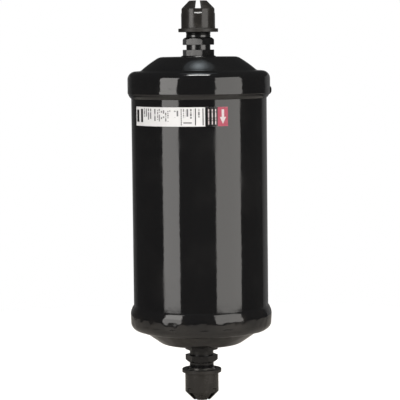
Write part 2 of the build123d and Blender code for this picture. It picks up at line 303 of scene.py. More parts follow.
def modify(piece, kind, **settings):
    """Adds one modifier and applies it."""
    only(piece)
    modifier = piece.modifiers.new(kind.title(), kind)
    for setting, value in settings.items():
        setattr(modifier, setting, value)
    bpy.ops.object.modifier_apply(modifier=modifier.name)


def cut(piece, tool, operation="DIFFERENCE"):
    """Cuts the piece with a tool and takes the tool away."""
    modify(piece, "BOOLEAN", object=tool, operation=operation, solver="EXACT")
    bpy.data.objects.remove(tool)


def joined(name, *parts):
    """Joins parts into one piece."""
    only(parts[0])
    for part in parts:
        part.select_set(True)
    bpy.ops.object.join()
    return named(name)


def smooth(piece, degrees=32):
    """Smooth shading with creases at the sharp edges, flat faces kept flat."""
    only(piece)
    bpy.ops.object.shade_smooth_by_angle(angle=radians(degrees))
    modify(piece, "WEIGHTED_NORMAL", keep_sharp=True, weight=90)


def settle(piece, turn=(0, 0, 0), rise=0.0):
    """Turns a finished mesh and moves it along the axis, and applies both."""
    only(piece)
    piece.rotation_euler = turn
    piece.location = (0, 0, rise * MM)
    bpy.ops.object.transform_apply(location=True, rotation=True, scale=False)


def turn_round(piece, bearing):
    """Turns a finished mesh about the axis."""
    settle(piece, (0, 0, radians(bearing)))


def to_outlet(piece):
    """Turns a piece made for the inlet end over to the outlet end, about X."""
    settle(piece, (pi, 0, 0))


def place(piece, body, slot, material, *nodes):
    """Gives a finished piece its body and finish, and hides the nodes it stands for. Its slot is
    not used.
    """
    piece.data.materials.clear()
    piece.data.materials.append(material)
    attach(piece, body)
    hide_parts(*nodes)


# Finishes

def new_group(name, inputs, outputs):
    """An empty effect group with named number inputs and named outputs."""
    group = bpy.data.node_groups.new(name, "ShaderNodeTree")
    for label, value in inputs.items():
        socket = group.interface.new_socket(label, in_out="INPUT", socket_type="NodeSocketFloat")
        socket.default_value = value
    for label, kind in outputs.items():
        group.interface.new_socket(label, in_out="OUTPUT", socket_type=f"NodeSocket{kind}")
    return group, group.nodes.new("NodeGroupInput"), group.nodes.new("NodeGroupOutput")


def add(tree, kind, settings=None, **inputs):
    """Adds one node. Settings are its own choices, and inputs are values or sockets by name."""
    made = tree.nodes.new(f"ShaderNode{kind}")
    for setting, value in (settings or {}).items():
        setattr(made, setting, value)
    for label, value in inputs.items():
        feed(tree, made, label.replace("_", " "), value)
    return made


def feed(tree, made, label, value):
    """Sets one input of a node, or links a socket to it."""
    socket = made.inputs[int(label)] if label.isdigit() else made.inputs[label]
    if isinstance(value, bpy.types.NodeSocket):
        tree.links.new(value, socket)
    else:
        socket.default_value = value


def math(tree, operation, first, second=0.0, third=0.0):
    """One sum on numbers or sockets."""
    made = tree.nodes.new("ShaderNodeMath")
    made.operation = operation
    for index, value in enumerate((first, second, third)):
        feed(tree, made, str(index), value)
    return made.outputs[0]


def fade(tree, value, start, end, low=0.0, high=1.0):
    """Maps a number from one range to another with soft ends."""
    made = tree.nodes.new("ShaderNodeMapRange")
    made.interpolation_type = "SMOOTHSTEP"
    for index, number in enumerate((value, start, end, low, high)):
        feed(tree, made, str(index), number)
    return made.outputs[0]


def blend_colour(tree, mask, first, second):
    """Mixes two colours by a mask."""
    made = tree.nodes.new("ShaderNodeMix")
    made.data_type = "RGBA"
    feed(tree, made, "0", mask)
    feed(tree, made, "6", first)
    feed(tree, made, "7", second)
    return made.outputs[2]


def object_place(tree):
    """Where a point lies in its object, in metres."""
    return tree.nodes.new("ShaderNodeTexCoord").outputs["Object"]


def orange_peel_group():
    """The slow waves that a thick baked coat dries with, over fine grain."""
    group, given, out = new_group(
        "orange peel",
        {
            "Wave": 300.0, "Wave height": 0.00002, "Lump": 60.0, "Lump height": 0.0001,
            "Grain": 0.000002,
        },
        {"Normal": "Vector", "Height": "Float"},
    )
    g = given.outputs
    where = object_place(group)
    wave = add(group, "TexNoise", Vector=where, Scale=g["Wave"], Detail=1.5, Roughness=0.45)
    lump = add(group, "TexNoise", Vector=where, Scale=g["Lump"], Detail=1.0, Roughness=0.4)
    grain = add(group, "TexNoise", Vector=where, Scale=2600.0, Detail=2.0)
    height = math(group, "MULTIPLY", wave.outputs[0], g["Wave height"])
    height = math(group, "MULTIPLY_ADD", lump.outputs[0], g["Lump height"], height)
    height = math(group, "MULTIPLY_ADD", grain.outputs[0], g["Grain"], height)
    bump = add(group, "Bump", Strength=1.0, Distance=1.0, Height=height)
    group.links.new(bump.outputs[0], out.inputs["Normal"])
    group.links.new(wave.outputs[0], out.inputs["Height"])
    return group


def handling_group():
    """Dust and fingering: a blotchy mask and the roughness that goes with it."""
    group, given, out = new_group(
        "handling",
        {"Size": 45.0, "Low": 0.1, "High": 0.2},
        {"Mask": "Float", "Roughness": "Float"},
    )
    g = given.outputs
    where = object_place(group)
    blotch = add(group, "TexNoise", Vector=where, Scale=g["Size"], Detail=6.0, Roughness=0.62)
    speck = add(group, "TexNoise", Vector=where, Scale=1900.0, Detail=1.0)
    mask = fade(group, blotch.outputs[0], 0.42, 0.72)
    specks = fade(group, speck.outputs[0], 0.66, 0.78)
    mask = math(group, "ADD", mask, math(group, "MULTIPLY", specks, 0.5))
    span = math(group, "SUBTRACT", g["High"], g["Low"])
    rough = math(group, "MULTIPLY_ADD", mask, span, g["Low"])
    group.links.new(mask, out.inputs["Mask"])
    group.links.new(rough, out.inputs["Roughness"])
    return group


def tool_marks_group():
    """Fine rings left by a lathe tool, and the shallow scratches of handling."""
    group, given, out = new_group(
        "tool marks",
        {"Rings": 5200.0, "Depth": 0.000003, "Low": 0.25, "High": 0.4},
        {"Normal": "Vector", "Roughness": "Float", "Tone": "Float"},
    )
    g = given.outputs
    where = object_place(group)
    apart = add(group, "SeparateXYZ", Vector=where)
    across = math(group, "MULTIPLY", apart.outputs[0], apart.outputs[0])
    across = math(group, "MULTIPLY_ADD", apart.outputs[1], apart.outputs[1], across)
    radius = math(group, "SQRT", across)
    along = math(group, "ADD", apart.outputs[2], radius)
    rings = add(
        group, "TexNoise", {"noise_dimensions": "1D"},
        W=math(group, "MULTIPLY", along, g["Rings"]), Scale=1.0, Detail=3.0, Roughness=0.7,
    )
    patch = add(group, "TexNoise", Vector=where, Scale=260.0, Detail=4.0)
    height = math(group, "MULTIPLY", rings.outputs[0], g["Depth"])
    bump = add(group, "Bump", Strength=1.0, Distance=1.0, Height=height)
    span = math(group, "SUBTRACT", g["High"], g["Low"])
    rough = math(group, "MULTIPLY_ADD", patch.outputs[0], span, g["Low"])
    group.links.new(bump.outputs[0], out.inputs["Normal"])
    group.links.new(rough, out.inputs["Roughness"])
    group.links.new(patch.outputs[0], out.inputs["Tone"])
    return group


ORANGE_PEEL = orange_peel_group()
HANDLING = handling_group()
TOOL_MARKS = tool_marks_group()


def use(tree, group, **values):
    """Places an effect group in a material with its own values."""
    made = tree.nodes.new("ShaderNodeGroup")
    made.node_tree = group
    for label, value in values.items():
        feed(tree, made, label.replace("_", " "), value)
    return made.outputs


def new_material(name):
    """A material with only its main shader, and its nodes."""
    material = bpy.data.materials.new(name)
    material.use_nodes = True
    return material, material.node_tree


def skin(material, colour, roughness, normal=None, level=0.5, metallic=0.0):
    """Feeds the main shader, and gives the material back."""
    tree = material.node_tree
    shader = tree.nodes["Principled BSDF"]
    feed(tree, shader, "Base Color", colour)
    feed(tree, shader, "Roughness", roughness)
    feed(tree, shader, "Specular IOR Level", level)
    feed(tree, shader, "Metallic", metallic)
    if normal is not None:
        feed(tree, shader, "Normal", normal)
    return material


def baked_black(
    name, wave=0.00002, lump=0.00006, low=0.07, high=0.15, level=0.5, dust=(0.02, 0.0195, 0.019, 1),
):
    """Thick black baked paint, glossy, with a little dust in blotches."""
    material, tree = new_material(name)
    peel = use(tree, ORANGE_PEEL, Wave_height=wave, Lump_height=lump)
    handled = use(tree, HANDLING, Low=low, High=high)
    dusty = math(tree, "MULTIPLY", handled["Mask"], 0.25)
    colour = blend_colour(tree, dusty, (0.0085, 0.0085, 0.009, 1), dust)
    return skin(material, colour, handled["Roughness"], peel["Normal"], level)


def bare_steel(name="bright turned steel", tone=(0.56, 0.55, 0.53, 1), shade=(0.4, 0.39, 0.37, 1)):
    """Bare steel off the lathe."""
    material, tree = new_material(name)
    marks = use(tree, TOOL_MARKS, Low=0.22, High=0.42)
    colour = blend_colour(tree, marks["Tone"], tone, shade)
    return skin(material, colour, marks["Roughness"], marks["Normal"], metallic=1.0)


def cap_plastic():
    """Dark brownish black moulded plastic with a satin skin, duller on the flange."""
    material, tree = new_material("moulded cap plastic")
    peel = use(
        tree, ORANGE_PEEL,
        Wave=520.0, Wave_height=0.000012, Lump=90.0, Lump_height=0.00003, Grain=0.000004,
    )
    handled = use(tree, HANDLING, Size=110.0, Low=0.2, High=0.34)
    apart = add(tree, "SeparateXYZ", Vector=object_place(tree))
    height = math(tree, "ABSOLUTE", apart.outputs[2])
    dull = fade(tree, height, 0.0963, 0.098, 0.22, 0.0)
    clean, dusty = (0.022, 0.0205, 0.019, 1), (0.034, 0.031, 0.028, 1)
    colour = blend_colour(tree, handled["Mask"], clean, dusty)
    roughness = math(tree, "ADD", handled["Roughness"], dull)
    return skin(material, colour, roughness, peel["Normal"], 0.36)


def seal_rubber():
    """Matt black rubber with a faint moulded grain."""
    material, tree = new_material("sealing disc rubber")
    peel = use(
        tree, ORANGE_PEEL,
        Wave=900.0, Wave_height=0.00001, Lump_height=0.00001, Grain=0.000006,
    )
    handled = use(tree, HANDLING, Size=160.0, Low=0.55, High=0.75)
    colour = blend_colour(tree, handled["Mask"], (0.012, 0.012, 0.012, 1), (0.03, 0.03, 0.029, 1))
    return skin(material, colour, handled["Roughness"], peel["Normal"])


def loose_solid(name, scale, light_and_lit_tone, dark_and_shaded_tone, depth, roughness):
    """Matt grains or matted fibres: random cloudy tone, with painted shade darkening the gaps
    between the grains and lighter painted tops.
    """
    material, tree = new_material(name)
    where = object_place(tree)
    grain = add(tree, "TexVoronoi", Vector=where, Scale=scale)
    cloud = add(tree, "TexNoise", Vector=where, Scale=scale / 7, Detail=4.0)
    # painted shade: the colour darkens towards the edges of each grain cell, in the gaps between
    # grains, mixed with random cloudy tone
    shade_and_tone_mask = math(tree, "MULTIPLY", grain.outputs[0], 0.6)
    shade_and_tone_mask = math(tree, "MULTIPLY_ADD", cloud.outputs[0], 0.5, shade_and_tone_mask)
    colour = blend_colour(tree, shade_and_tone_mask, light_and_lit_tone, dark_and_shaded_tone)
    hollows = math(tree, "MULTIPLY", grain.outputs[0], -1.0)
    bump = add(tree, "Bump", Strength=1.0, Distance=depth, Height=hollows)
    return skin(material, colour, roughness, bump.outputs[0])


def dress_inner_parts():
    """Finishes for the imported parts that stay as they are, inside the vessel and the caps."""
    plate = bare_steel("zinc plated plate", (0.5, 0.51, 0.53, 1), (0.36, 0.37, 0.39, 1))
    spring = bare_steel("drawn spring wire", (0.3, 0.29, 0.28, 1), (0.16, 0.155, 0.15, 1))
    fleece = loose_solid(
        "matted filter fleece", 1500.0, (0.82, 0.81, 0.77, 1), (0.6, 0.59, 0.55, 1), 0.0003, 0.95,
    )
    beads = loose_solid(
        "moulded desiccant beads", 420.0, (0.72, 0.63, 0.5, 1), (0.45, 0.37, 0.28, 1), 0.0009, 0.9,
    )
    rubber = seal_rubber()
    for node, material in (
        ("inlet_cap_seal", rubber),
        ("outlet_cap_seal", rubber),
        ("support_plate", plate),
        ("spring_plate", plate),
        ("core_spring", spring),
        ("filter_mat", fleece),
        ("desiccant_core", beads),
    ):
        for slot in bpy.data.objects[node].material_slots:
            slot.material = material


# Shell, covers and welds

def shell_tube():
    """The drawn steel tube with its two ends deburred."""
    ends = (-SHELL_END, SHELL_END)
    outside = [(SHELL_RADIUS, end, SHELL_DEBURR) for end in ends]
    bore = [(SHELL_BORE, end, SHELL_DEBURR) for end in reversed(ends)]
    return turned("painted_shell_tube", outside + bore, SHELL_STEPS)


def lumpy(piece, name, size, depth, low, high):
    """Uneven sheet: slow dents along the normals, fading out at the ends of a band of heights."""
    band = piece.vertex_groups.new(name="band")
    for point in piece.data.vertices:
        height = abs(point.co.z) / MM
        inside = min(height - low, high - height)
        band.add([point.index], max(0.0, min(1.0, inside)), "REPLACE")
    dents = bpy.data.textures.new(name, "CLOUDS")
    dents.noise_scale = size * MM
    dents.noise_depth = 1
    modify(
        piece, "DISPLACE",
        texture=dents, texture_coords="LOCAL", vertex_group="band",
        strength=depth * MM, mid_level=0.72,
    )
    piece.vertex_groups.clear()


def skirt_wall(outlet):
    """Points down the skirt's wall, which draws in a little towards the outlet's rim."""
    low = SKIRT_END + (OUTLET_WALL_RISE if outlet else INLET_WALL_RISE)
    high = SHOULDER_TOP - WALL_BELOW_SHOULDER
    taper = OUTLET_TAPER if outlet else 0.0
    steps = round((high - low) / WALL_STEP)
    wall = []
    for step in range(steps + 1):
        share = 1 - step / steps
        wall.append((SKIRT_RADIUS - taper * share ** 2, low + (high - low) * share))
    return wall


def end_cover(name):
    """A pressed cover: even sheet with a cone, a shoulder and a skirt. The inlet's rim is rolled,
    and the outlet's rises from its bead in one steep slope."""
    outlet = name.startswith("outlet")
    lean = radians(CONE_SLOPE)
    inner_shift = COVER_SHEET * tan(lean / 2)
    inner_skirt = SKIRT_RADIUS - COVER_SHEET
    inner_top = COVER_TOP - COVER_SHEET
    inner_shoulder = SHOULDER_TOP - COVER_SHEET
    hole = SPIGOT_RADIUS + SPIGOT_FIT
    domed = (
        (CONE_TOP + CONE_ROOT) / 2 + CONE_CROWNING * sin(lean),
        (COVER_TOP + SHOULDER_TOP) / 2 + CONE_CROWNING * cos(lean),
        CONE_CROWN_RADIUS,
    )
    corners = [
        (hole, COVER_TOP),
        (CONE_TOP, COVER_TOP, CONE_TOP_FILLET),
        domed,
        (CONE_ROOT, SHOULDER_TOP, CONE_ROOT_FILLET),
        (SKIRT_RADIUS, SHOULDER_TOP, COVER_CORNER),
        *skirt_wall(outlet),
        *(OUTLET_RIM if outlet else INLET_RIM),
        (inner_skirt, SKIRT_END),
        (inner_skirt, inner_shoulder, COVER_CORNER - COVER_SHEET),
        (CONE_ROOT - inner_shift, inner_shoulder, CONE_ROOT_FILLET + COVER_SHEET),
        (CONE_TOP - inner_shift, inner_top, INNER_TOP_FILLET),
        (hole, inner_top),
    ]
    return turned(name, corners, SHELL_STEPS)


def ripple(bead, level, steps, shift, depth):
    """Sets some points of a spun bead at one level off from the rest, as ripples of its pool."""
    def on_ripple(point):
        step = round(atan2(point.y, point.x) / tau * steps + shift)
        return abs(point.z - level * MM) < SAME_LEVEL and step % RIPPLE_EVERY == 0

    pick(bead, on_ripple)
    bpy.ops.transform.shrink_fatten(value=-depth * MM)


def seam_bead(name):
    """The weld bead in the corner under the skirt, with the ripples of its pool."""
    if name.startswith("outlet"):
        toe, sunk, profile = SEAM_TOE + OUTLET_SEAM_RISE, OUTLET_SEAM_SUNK, OUTLET_SEAM
    else:
        toe, sunk, profile = SEAM_TOE, SEAM_SUNK, INLET_SEAM
    corners = [
        (SHELL_RADIUS - SEAM_SUNK, toe - sunk),
        *((SHELL_RADIUS + out, toe + up) for out, up in profile),
        *((SHELL_RADIUS + out, SEAM_TOE + up) for out, up in SEAM_TOP),
    ]
    bead = turned(name, corners, SEAM_STEPS)
    edit(bead)
    for row, (_, up) in enumerate(profile[:3]):
        ripple(bead, toe + up, SEAM_STEPS, 0.7 * row * row, 0.05)
    nothing_selected()
    return bead


def base_bead(name):
    """The bead that seals the fitting's base to the cover."""
    inner, leg = SPIGOT_RADIUS + 0.3, 0.6
    outer = HEX_CORNER + leg
    profile = [(outer - 0.12, COVER_TOP + 0.24), (outer - 0.34, COVER_TOP + 0.46)]
    corners = [
        (inner, COVER_TOP - BEAD_OVERLAP),
        (outer, COVER_TOP - BEAD_OVERLAP),
        *profile,
        (HEX_CORNER - BEAD_OVERLAP, COVER_TOP + leg),
        (inner, COVER_TOP + leg),
    ]
    bead = turned(name, corners, BASE_STEPS)
    edit(bead)
    for row, (_, level) in enumerate(profile):
        ripple(bead, level, BASE_STEPS, row, 0.07)
    nothing_selected()
    return bead


def weld_lump():
    """The lump that the bead's start and stop leave on the skirt's right side."""
    nothing_selected()
    bpy.ops.mesh.primitive_uv_sphere_add(segments=48, ring_count=24, radius=MM, location=(0, 0, 0))
    lump = named("inlet_weld_lump")
    edit(lump)
    pick_all()
    bpy.ops.transform.resize(value=LUMP_SIZE)
    pick(lump, lambda p: p.z > 1.4 * MM)
    bpy.ops.transform.resize(value=(0.8, 0.75, 1), center_override=(0, 0, 0))
    pick(lump, lambda p: p.z < -1.0 * MM and p.x > 0)
    bpy.ops.transform.translate(value=(0.12 * MM, 0, 0))
    pick_all()
    bpy.ops.mesh.vertices_smooth(factor=0.5, repeat=3)
    middle = Vector((SKIRT_RADIUS - LUMP_SUNK, 0, SKIRT_END + LUMP_ABOVE_RIM))
    bpy.ops.transform.translate(value=middle * MM)
    nothing_selected()
    return lump


# Flare fittings

def hexagon(name, low, high, bearing):
    """A hexagonal bar about the axis with one flat at a bearing."""
    nothing_selected()
    bpy.ops.mesh.primitive_cylinder_add(
        vertices=6, radius=HEX_CORNER * MM, depth=(high - low) * MM,
        location=(0, 0, (low + high) / 2 * MM), rotation=(0, 0, radians(bearing - 30)),
    )
    piece = named(name)
    bpy.ops.object.transform_apply(location=True, rotation=True, scale=True)
    return piece


def fitting_body(name, bearing):
    """The painted part of the fitting: base hexagon, groove, chamfered nut hexagon and neck."""
    base = hexagon("base_hexagon", COVER_TOP - BEAD_OVERLAP, BASE_HEX_END, bearing)
    nut = hexagon("nut_hexagon", GROOVE_END, NUT_HEX_END, bearing)
    slope = tan(radians(HEX_CHAMFER_SLOPE))
    drop = (HEX_CORNER - HEX_CHAMFER_RADIUS) * slope
    corners = [
        (0.5, GROOVE_END - 1),
        (HEX_CORNER + 1, GROOVE_END - 1),
        (HEX_CORNER + 1, NUT_HEX_END - drop - slope),
        (HEX_CHAMFER_RADIUS, NUT_HEX_END),
        (HEX_CHAMFER_RADIUS, NUT_HEX_END + 1),
        (0.5, NUT_HEX_END + 1),
    ]
    envelope = turned("nut_chamfer", corners, CHAMFER_STEPS)
    cut(nut, envelope, "INTERSECT")
    for hex_piece in (base, nut):
        modify(
            hex_piece, "BEVEL",
            width=0.16 * MM, segments=3, limit_method="ANGLE", angle_limit=radians(28),
        )
    corners = [
        (PORT_RADIUS + PORT_WALL, SPIGOT_END, 0.3),
        (SPIGOT_RADIUS, SPIGOT_END, 0.3),
        (SPIGOT_RADIUS, COVER_TOP),
        (GROOVE_RADIUS, COVER_TOP),
        (GROOVE_RADIUS, GROOVE_END),
        (NECK_RADIUS + 0.6, GROOVE_END + 0.5),
        (NECK_RADIUS + 0.6, NUT_HEX_END - 0.02),
        (NECK_RADIUS + 0.3, NUT_HEX_END + 0.02),
        (NECK_RADIUS, NUT_HEX_END + 0.2, 0.2),
        *((NECK_RADIUS + out, NUT_HEX_END + up) for out, up in NECK_PROFILE),
        (THREAD_RADIUS - THREAD_DEPTH, CAP_START + 0.6),
        (PORT_RADIUS + PORT_WALL, CAP_START + 0.6),
    ]
    bar = turned("turned_bar", corners, FITTING_STEPS)
    return joined(name, bar, base, nut)


def flare_end(name):
    """The bare end of the fitting: the rolled-off thread, the 45 degree nose and the port."""
    root = THREAD_RADIUS - THREAD_DEPTH
    corners = [
        (PORT_RADIUS, SPIGOT_END + 0.2, 0.2),
        (PORT_RADIUS + 0.5, SPIGOT_END + 0.2),
        (PORT_RADIUS + 0.5, CAP_START + 0.2),
        (root - 0.3, CAP_START + 0.2),
        (root, CAP_START + 0.62),
        (root, THREAD_END - 0.2),
        (root + 0.05, THREAD_END + 0.75),
        (THREAD_RADIUS - 2.9, NOSE_END, 0.2),
        (PORT_RADIUS, NOSE_END, 0.35),
    ]
    core = turned("thread_core", corners, FITTING_STEPS)
    corners = [
        (root - 0.5, 0.02),
        (root - 0.02, 0.02),
        (root + 0.02, THREAD_PITCH * 0.06),
        (THREAD_RADIUS - 0.05, THREAD_PITCH * 0.44),
        (THREAD_RADIUS, THREAD_PITCH * 0.47),
        (THREAD_RADIUS, THREAD_PITCH * 0.53),
        (THREAD_RADIUS - 0.05, THREAD_PITCH * 0.56),
        (root + 0.02, THREAD_PITCH * 0.94),
        (root - 0.02, THREAD_PITCH - 0.02),
        (root - 0.5, THREAD_PITCH - 0.02),
    ]
    ridge = draw_section("thread_ridge", corners)
    pick_all()
    bpy.ops.transform.translate(value=(0, 0, (CAP_START + 0.4) * MM))
    nothing_selected()
    steps = STEPS_PER_TURN * THREAD_TURNS
    modify(
        ridge, "SCREW",
        axis="Z", angle=tau * THREAD_TURNS, screw_offset=THREAD_PITCH * THREAD_TURNS * MM,
        steps=steps, render_steps=steps, use_merge_vertices=False, use_normal_calculate=True,
    )
    edit(ridge)
    pick_all()
    bpy.ops.mesh.fill_holes(sides=12)
    face_outwards()
    nothing_selected()
    corners = [
        (root - 0.4, CAP_START + 0.55),
        (root - 0.1, CAP_START + 0.55),
        (THREAD_RADIUS + 0.3, CAP_START + 1.8),
        (THREAD_RADIUS + 0.3, THREAD_END - 0.3),
        (root - 0.4, THREAD_END + (THREAD_DEPTH + 0.4) * tan(radians(NOSE_SLOPE))),
    ]
    envelope = turned("thread_envelope", corners, FITTING_STEPS)
    cut(ridge, envelope, "INTERSECT")
    return joined(name, core, ridge)


# Screw caps

def cutter(name, size, location):
    """A block that a cap is cut with, in edit mode. Size and location are in millimetres."""
    nothing_selected()
    bpy.ops.mesh.primitive_cube_add(size=MM, location=[c * MM for c in location])
    piece = named(name)
    piece.scale = size
    bpy.ops.object.transform_apply(location=True, rotation=True, scale=True)
    edit(piece)
    return piece


def pocket_cutter(bearing):
    """A block for one pocket, with a sloped foot that leaves the ledge."""
    inside = CAP_POCKET_DISTANCE
    foot = CAP_POCKET_START - CAP_LEDGE_SLOPE * (CAP_POCKET_REACH - CAP_RADIUS + inside)
    height = CROWN_END + 2 - foot
    pocket = cutter(
        "pocket_cutter",
        (CAP_POCKET_REACH, CAP_POCKET_WIDTH, height),
        (inside + CAP_POCKET_REACH / 2, 0, foot + height / 2),
    )
    pick(pocket, lambda p: p.x < (inside + 0.1) * MM and p.z < (foot + 0.1) * MM)
    bpy.ops.transform.translate(value=(0, 0, CAP_LEDGE_SLOPE * CAP_POCKET_REACH * MM))
    nothing_selected()
    turn_round(pocket, bearing)
    return pocket


def slot_cutter(bearing):
    """A block for one slot right across the crown, narrower at its mouth."""
    middle = CROWN_START + SLOT_TOOL_HEIGHT / 2
    size = (SLOT_TOOL_LENGTH, SLOT_ROOT_WIDTH, SLOT_TOOL_HEIGHT)
    slot = cutter("slot_cutter", size, (0, 0, middle))
    pick(slot, lambda p: p.z > middle * MM)
    lost = (SLOT_ROOT_WIDTH - SLOT_MOUTH_WIDTH) * SLOT_TOOL_HEIGHT / (CROWN_END - CROWN_START)
    narrow = (SLOT_ROOT_WIDTH - lost) / SLOT_ROOT_WIDTH
    bpy.ops.transform.resize(value=(1, narrow, 1), center_override=(0, 0, 0))
    nothing_selected()
    turn_round(slot, bearing)
    return slot


def screw_cap(name):
    """A moulded cap: flange, round body, conical crown with crossed slots, and a pocket under each
    slot's two ends."""
    corners = [
        (CAP_BORE + 0.4, CAP_START),
        (CAP_FLANGE_RADIUS, CAP_START, 0.3),
        (CAP_FLANGE_RADIUS, CAP_FLANGE_TOP, 0.25),
        (CAP_RADIUS, CAP_FLANGE_TOP + 0.12, 0.2),
        (CAP_RADIUS, CROWN_START - 0.2, 0.3),
        (CROWN_TIP, CROWN_END, 0.3),
        (CAP_EYE, CROWN_END),
        (CAP_EYE, CAP_FLOOR),
        (CAP_BORE, CAP_FLOOR, 0.4),
        (CAP_BORE, CAP_START + 0.4),
    ]
    cap = turned(name, corners, CAP_STEPS)
    edit(cap)
    pick(cap, lambda face: all(v.co.xy.length < (CAP_EYE + 0.1) * MM for v in face.verts), "FACE")
    bpy.ops.mesh.delete(type="FACE")
    bpy.ops.mesh.select_mode(type="EDGE")
    pick_all()
    bpy.ops.mesh.fill_holes(sides=200)
    nothing_selected()
    for index in range(4):
        cut(cap, pocket_cutter(90 * index))
    for index in range(2):
        cut(cap, slot_cutter(90 * index))
    edit(cap)
    pick_all()
    bpy.ops.mesh.remove_doubles(threshold=2e-6)
    bpy.ops.mesh.dissolve_limited(angle_limit=radians(0.6))
    nothing_selected()
    modify(
        cap, "BEVEL",
        width=0.14 * MM, segments=2, limit_method="ANGLE", angle_limit=radians(34),
        use_clamp_overlap=True,
    )
    return cap


# Label

def panel(name, start, length, low, high, radius, thickness):
    """A thin curved panel on the tube. Start and length run along the surface from the label's left
    end, and low and high from its bottom edge."""
    ends = [(radius, LABEL_BOTTOM + low), (radius, LABEL_BOTTOM + high)]
    section = draw_section(name, ends, closed=False)
    sweep = length / SHELL_RADIUS
    steps = max(2, round(sweep / radians(1)))
    pick_all()
    bpy.ops.mesh.spin(steps=steps, angle=sweep, center=(0, 0, 0), axis=(0, 0, 1))
    nothing_selected()
    begin = radians(LABEL_START_BEARING - 90) + start / SHELL_RADIUS
    swept = sum((v.co for v in section.data.vertices), Vector()) / len(section.data.vertices)
    lean = atan2(swept.y, swept.x)
    turn_round(section, 180 / pi * (begin + sweep / 2 - lean))
    edit(section)
    face_outwards()
    face = next(iter(bmesh.from_edit_mesh(section.data).faces))
    if face.normal.xy.dot(face.calc_center_median().xy) < 0:
        bpy.ops.mesh.flip_normals()
    nothing_selected()
    modify(section, "SOLIDIFY", thickness=thickness * MM, offset=1.0)
    return section


def label_place_group():
    """Where a point lies on the label: millimetres from its left end and from its bottom edge."""
    group, _, out = new_group("label place", {}, {"Along": "Float", "Up": "Float"})
    apart = add(group, "SeparateXYZ", Vector=object_place(group))
    minus_y = math(group, "MULTIPLY", apart.outputs[1], -1.0)
    bearing = math(group, "ARCTAN2", apart.outputs[0], minus_y)
    start = -radians(LABEL_START_BEARING) * SHELL_RADIUS
    along = math(group, "MULTIPLY_ADD", bearing, SHELL_RADIUS, start)
    up = math(group, "MULTIPLY_ADD", apart.outputs[2], 1000.0, -LABEL_BOTTOM)
    group.links.new(along, out.inputs["Along"])
    group.links.new(up, out.inputs["Up"])
    return group


def small_print_group():
    """Upright columns of broken dashes, which stand for small print. Their feet differ."""
    group, given, out = new_group(
        "small print",
        {
            "Along": 0.0, "Up": 0.0, "Start": 0.0, "End": 1.0, "Pitch": 1.0, "Width": 0.5,
            "Low": 1.0, "High": 9.0, "Dash": 0.3, "Share": 0.6,
        },
        {"Mask": "Float"},
    )
    g = given.outputs
    from_start = math(group, "SUBTRACT", g["Along"], g["Start"])
    column = math(group, "FLOOR", math(group, "DIVIDE", from_start, g["Pitch"]))
    across = math(group, "SUBTRACT", from_start, math(group, "MULTIPLY", column, g["Pitch"]))
    row = math(group, "FLOOR", math(group, "DIVIDE", g["Up"], g["Dash"]))
    cell = add(group, "CombineXYZ", X=column, Y=row, Z=g["Start"])
    chance = add(group, "TexWhiteNoise", Vector=cell.outputs[0])
    cell = add(group, "CombineXYZ", X=column, Y=g["Start"])
    rise = add(group, "TexWhiteNoise", {"noise_dimensions": "2D"}, Vector=cell.outputs[0])
    room = math(group, "MULTIPLY", math(group, "SUBTRACT", g["High"], g["Low"]), 0.4)
    foot = math(group, "MULTIPLY_ADD", rise.outputs[0], room, g["Low"])
    ink = 1.0
    for smaller, greater in (
        (across, g["Width"]),
        (g["Start"], g["Along"]),
        (g["Along"], g["End"]),
        (chance.outputs[0], g["Share"]),
        (foot, g["Up"]),
        (g["Up"], g["High"]),
    ):
        ink = math(group, "MULTIPLY", ink, math(group, "LESS_THAN", smaller, greater))
    group.links.new(ink, out.inputs["Mask"])
    return group


LABEL_PLACE = label_place_group()
SMALL_PRINT = small_print_group()


def label_stock(name, colour, print_runs=(), level=0.4):
    """Glossy label stock with fine waves where it was rubbed down, and runs of small print."""
    material, tree = new_material(name)
    peel = use(tree, ORANGE_PEEL, Wave=420.0, Wave_height=0.000008, Lump=90.0, Lump_height=0.00003)
    handled = use(tree, HANDLING, Size=120.0, Low=0.16, High=0.3)
    worn = [c * 0.93 for c in colour[:3]] + [1]
    base = blend_colour(tree, handled["Mask"], colour, worn)
    if print_runs:
        spot = use(tree, LABEL_PLACE)
        for start, end, pitch, width, low, high, dash, share in print_runs:
            mask = use(
                tree, SMALL_PRINT, Along=spot["Along"], Up=spot["Up"],
                Start=start * WHITE_LENGTH, End=end * WHITE_LENGTH,
                Pitch=pitch, Width=width, Low=low, High=high, Dash=dash, Share=share,
            )["Mask"]
            cover = math(tree, "MULTIPLY", mask, PRINT_STRENGTH)
            base = blend_colour(tree, cover, base, PRINT_INK)
    return skin(material, base, handled["Roughness"], peel["Normal"], level)


def on_white(share):
    """How far along the label a share of the white field is."""
    return share * WHITE_LENGTH


def print_strip(name, start, length, low, high, layer=0):
    """A strip of ink on the film. Layer 1 lies on the ink of layer 0."""
    radius = LABEL_RADIUS + LABEL_THICKNESS + INK_GAP + INK_LAYER * layer
    return panel(name, start, length, low, high, radius, INK_THICKNESS)


def black_print():
    """The black field, code bars, rules, dotted divider and the bar under the columns."""
    top = LABEL_HEIGHT
    parts = [print_strip("black_field", WHITE_LENGTH, BLACK_LENGTH, INK_MARGIN, top - INK_MARGIN)]
    for start, length, rise in ((1.1, 2.5, 1.6), (5.6, 1.9, 1.1)):
        parts.append(print_strip("code_bar", start, length, 2.1, top - rise))
    for share in (0.882, 0.97):
        parts.append(print_strip("rule", on_white(share), 0.5, RULE_MARGIN, top - RULE_MARGIN))
    dots = 8
    for index in range(dots):
        low = RULE_MARGIN + index * (top - 2 * RULE_MARGIN) / dots
        parts.append(print_strip("divider_dot", on_white(0.715), 0.42, low, low + 0.9))
    parts.append(print_strip("foot_bar", on_white(0.745), 4.6, 1.75, 2.25))
    return joined("label_black_ink", *parts)


